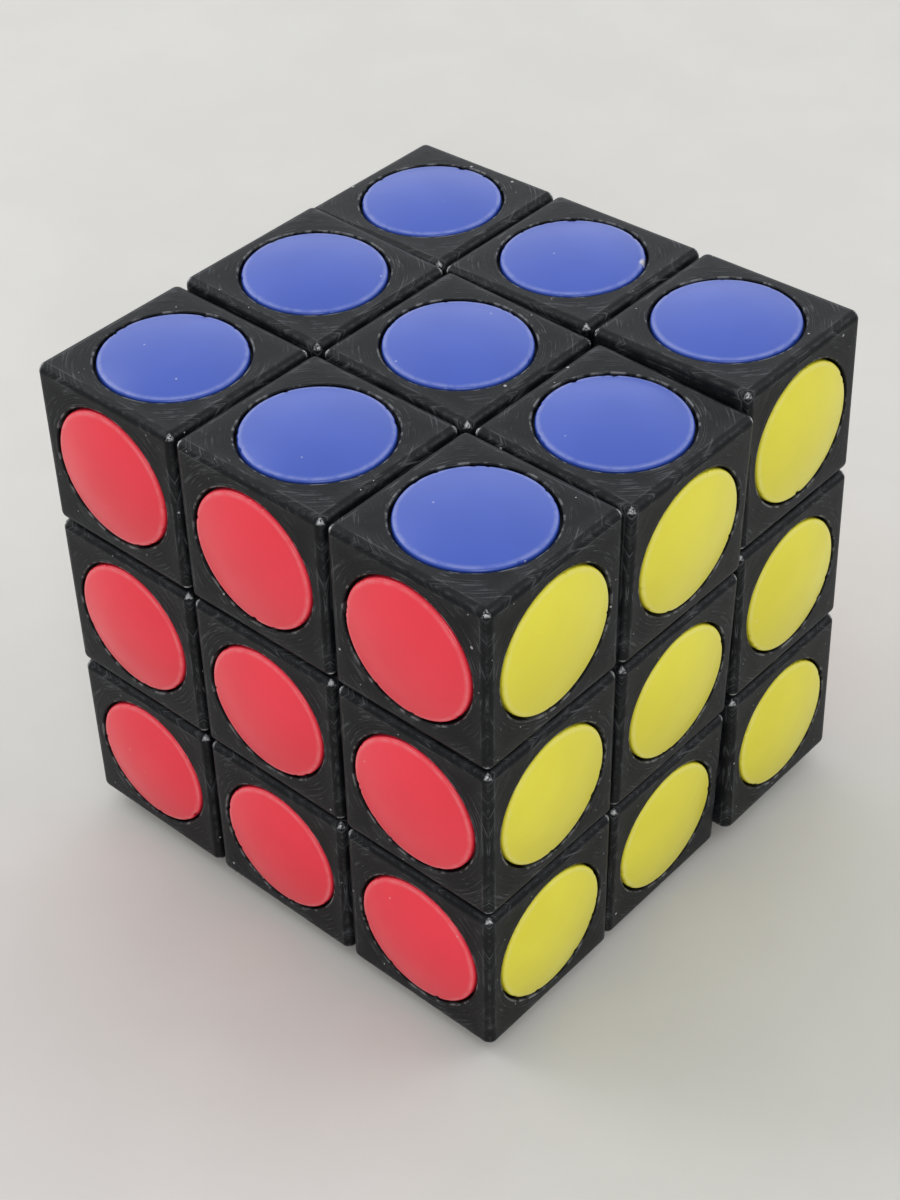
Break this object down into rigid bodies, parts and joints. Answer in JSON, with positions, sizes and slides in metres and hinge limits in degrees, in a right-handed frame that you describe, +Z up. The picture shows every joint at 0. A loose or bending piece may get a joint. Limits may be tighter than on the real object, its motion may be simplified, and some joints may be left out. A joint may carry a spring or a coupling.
{
  "type": "cube twisty puzzle",
  "caption": "Cube twisty puzzle of black hollow pieces with round domed coloured tiles, sprung on a screwed core; layers turn about the front-to-back axle.",
  "frame": {"origin": "middle of the footprint, on the surface that the puzzle stands on", "axes": "+Z up through the blue face, +X right through the yellow face, +Y back through the orange face, along the axle that the layers turn on"},
  "size_m": [0.0602, 0.0594, 0.0603],
  "materials": {
    "black_plastic": "satin moulded plastic with fine scratches and worn corners",
    "red_tile": "semi-gloss moulded plastic, lightly worn",
    "blue_tile": "semi-gloss moulded plastic, lightly worn",
    "yellow_tile": "semi-gloss moulded plastic, lightly worn",
    "orange_tile": "semi-gloss moulded plastic, lightly worn",
    "green_tile": "semi-gloss moulded plastic, lightly worn",
    "white_tile": "semi-gloss moulded plastic, lightly worn",
    "core_plastic": "plain moulded plastic",
    "steel": "zinc-plated steel",
    "spring_steel": "drawn wire"
  },
  "bodies": {
    "root": {"core_spider": "core_plastic", "axle_screws": "steel", "edge_left_bottom": "black_plastic", "edge_left_top": "black_plastic", "edge_right_bottom": "black_plastic", "edge_right_top": "black_plastic", "tiles_left_middle_row": "white_tile", "tiles_bottom_middle_row": "green_tile", "tiles_top_middle_row": "blue_tile", "tiles_right_middle_row": "yellow_tile", "spring_left": "spring_steel", "spring_front": "spring_steel", "spring_bottom": "spring_steel", "spring_top": "spring_steel", "spring_back": "spring_steel", "spring_right": "spring_steel"},
    "left_centre": {"centre_left": "black_plastic", "cap_left": "white_tile", "washer_left": "steel"},
    "front_washer": {"washer_front": "steel"},
    "front_layer": {"corner_front_left_bottom": "black_plastic", "edge_front_left": "black_plastic", "corner_front_left_top": "black_plastic", "edge_front_bottom": "black_plastic", "centre_front": "black_plastic", "edge_front_top": "black_plastic", "corner_front_right_bottom": "black_plastic", "edge_front_right": "black_plastic", "corner_front_right_top": "black_plastic", "cap_front": "red_tile", "tiles_front": "red_tile", "tiles_left_front_row": "white_tile", "tiles_bottom_front_row": "green_tile", "tiles_top_front_row": "blue_tile", "tiles_right_front_row": "yellow_tile"},
    "bottom_centre": {"centre_bottom": "black_plastic", "cap_bottom": "green_tile", "washer_bottom": "steel"},
    "top_centre": {"centre_top": "black_plastic", "cap_top": "blue_tile", "washer_top": "steel"},
    "back_washer": {"washer_back": "steel"},
    "back_layer": {"corner_back_left_bottom": "black_plastic", "edge_back_left": "black_plastic", "corner_back_left_top": "black_plastic", "edge_back_bottom": "black_plastic", "centre_back": "black_plastic", "edge_back_top": "black_plastic", "corner_back_right_bottom": "black_plastic", "edge_back_right": "black_plastic", "corner_back_right_top": "black_plastic", "cap_back": "orange_tile", "tiles_back": "orange_tile", "tiles_left_back_row": "white_tile", "tiles_bottom_back_row": "green_tile", "tiles_top_back_row": "blue_tile", "tiles_right_back_row": "yellow_tile"},
    "right_centre": {"centre_right": "black_plastic", "cap_right": "yellow_tile", "washer_right": "steel"}
  },
  "joints": [
    {"name": "left_centre_lift", "type": "slide", "parent": "root", "child": "left_centre", "axis": [-0.9997, 0, 0.0236], "range_m": [0, 0.0004], "stiffness_N_per_m": 1500, "springref_m": -0.002, "deforming": ["spring_left"]},
    {"name": "front_layer_lift", "type": "slide", "parent": "root", "child": "front_washer", "axis": [0, -1, 0], "range_m": [0, 0.0004], "stiffness_N_per_m": 1500, "springref_m": -0.002, "deforming": ["spring_front"]},
    {"name": "front_layer_turn", "type": "hinge", "parent": "front_washer", "child": "front_layer", "pos_m": [0, 0, 0.03015], "axis": [0, -1, 0], "continuous": true},
    {"name": "bottom_centre_lift", "type": "slide", "parent": "root", "child": "bottom_centre", "axis": [-0.0236, 0, -0.9997], "range_m": [0, 0.0004], "stiffness_N_per_m": 1500, "springref_m": -0.002, "deforming": ["spring_bottom"]},
    {"name": "top_centre_lift", "type": "slide", "parent": "root", "child": "top_centre", "axis": [0.0236, 0, 0.9997], "range_m": [0, 0.0004], "stiffness_N_per_m": 1500, "springref_m": -0.002, "deforming": ["spring_top"]},
    {"name": "back_layer_lift", "type": "slide", "parent": "root", "child": "back_washer", "axis": [0, 1, 0], "range_m": [0, 0.0004], "stiffness_N_per_m": 1500, "springref_m": -0.002, "deforming": ["spring_back"]},
    {"name": "back_layer_turn", "type": "hinge", "parent": "back_washer", "child": "back_layer", "pos_m": [0, 0, 0.03015], "axis": [0, 1, 0], "continuous": true},
    {"name": "right_centre_lift", "type": "slide", "parent": "root", "child": "right_centre", "axis": [0.9997, 0, -0.0236], "range_m": [0, 0.0004], "stiffness_N_per_m": 1500, "springref_m": -0.002, "deforming": ["spring_right"]}
  ]
}
